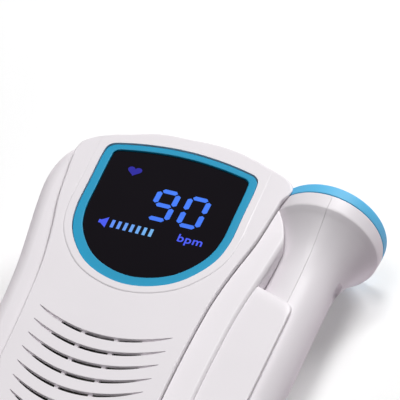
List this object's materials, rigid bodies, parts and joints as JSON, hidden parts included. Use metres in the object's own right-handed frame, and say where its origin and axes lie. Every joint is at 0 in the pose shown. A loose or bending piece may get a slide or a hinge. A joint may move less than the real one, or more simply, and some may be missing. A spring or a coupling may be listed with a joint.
{
  "type": "fetal doppler",
  "caption": "Pocket ultrasound heartbeat listener: waisted white unit with a shield-shaped display, slotted speaker grille and a flared hand probe in a side cradle.",
  "frame": {"origin": "middle of the unit's back, on its plane of symmetry, on the plane that it rests on", "axes": "+Z from the back to the display face, +Y to the display end, +X to the side that carries the probe"},
  "size_m": [0.0996, 0.1465, 0.0357],
  "materials": {
    "white_shell": "satin moulded ABS, white with a faint lavender cast",
    "blue_trim": "moulded ABS, sky blue",
    "window": "smoked acrylic, nearly black",
    "display_body": "black moulded display block",
    "circuit_board": "green solder mask",
    "chip": "black moulding compound",
    "steel": "plated steel",
    "cone_paper": "dark pressed paper",
    "foam": "grey foam with dust cloth",
    "cell_jacket": "plain printed jacket",
    "button": "light grey moulded keys",
    "socket": "black nylon",
    "gland": "white soft PVC",
    "acoustic_face": "pale grey acoustic window",
    "ceramic": "fired piezoelectric ceramic",
    "backing": "filled epoxy"
  },
  "bodies": {
    "unit": {"front_cover": "white_shell", "display_bezel": "blue_trim", "display_window": "window", "led_display_module": "display_body", "upper_housing": "white_shell", "rear_housing": "white_shell", "battery_cell_left": "cell_jacket", "battery_cell_right": "cell_jacket", "battery_contact_plate": "steel", "battery_spring_left": "steel", "battery_spring_right": "steel", "main_board": "circuit_board", "processor_chip": "chip", "audio_amplifier_chip": "chip", "speaker_gasket": "foam", "speaker_frame": "steel", "speaker_cone": "cone_paper", "speaker_magnet": "steel", "earphone_jack": "socket", "unit_cable_gland": "gland", "volume_down_switch": "chip", "power_switch": "chip", "volume_up_switch": "chip", "upper_screw_1": "steel", "upper_screw_2": "steel", "lower_screw_1": "steel", "lower_screw_2": "steel", "board_screw_1": "steel", "board_screw_2": "steel"},
    "probe": {"probe_left_shell": "white_shell", "probe_right_shell": "white_shell", "probe_ring": "blue_trim", "probe_face": "acoustic_face", "transmit_crystal": "ceramic", "receive_crystal": "ceramic", "crystal_backing": "backing", "probe_board": "circuit_board", "probe_cable_gland": "gland"},
    "door": {"battery_door": "white_shell"},
    "power_key": {"power_button": "button"},
    "volume_up_key": {"volume_up_button": "button"},
    "volume_down_key": {"volume_down_button": "button"}
  },
  "joints": [
    {"name": "probe_slide", "type": "slide", "parent": "unit", "child": "probe", "axis": [0.0454, 0.999, 0], "range_m": [0, 0.09]},
    {"name": "battery_door_slide", "type": "slide", "parent": "unit", "child": "door", "axis": [0, -1, 0], "range_m": [0, 0.066]},
    {"name": "power_press", "type": "slide", "parent": "unit", "child": "power_key", "axis": [0, 0, -1], "range_m": [0, 0.0006], "stiffness_N_per_m": 2500},
    {"name": "volume_up_press", "type": "slide", "parent": "unit", "child": "volume_up_key", "axis": [0, 0, -1], "range_m": [0, 0.0006], "stiffness_N_per_m": 2500},
    {"name": "volume_down_press", "type": "slide", "parent": "unit", "child": "volume_down_key", "axis": [0, 0, -1], "range_m": [0, 0.0006], "stiffness_N_per_m": 2500}
  ]
}
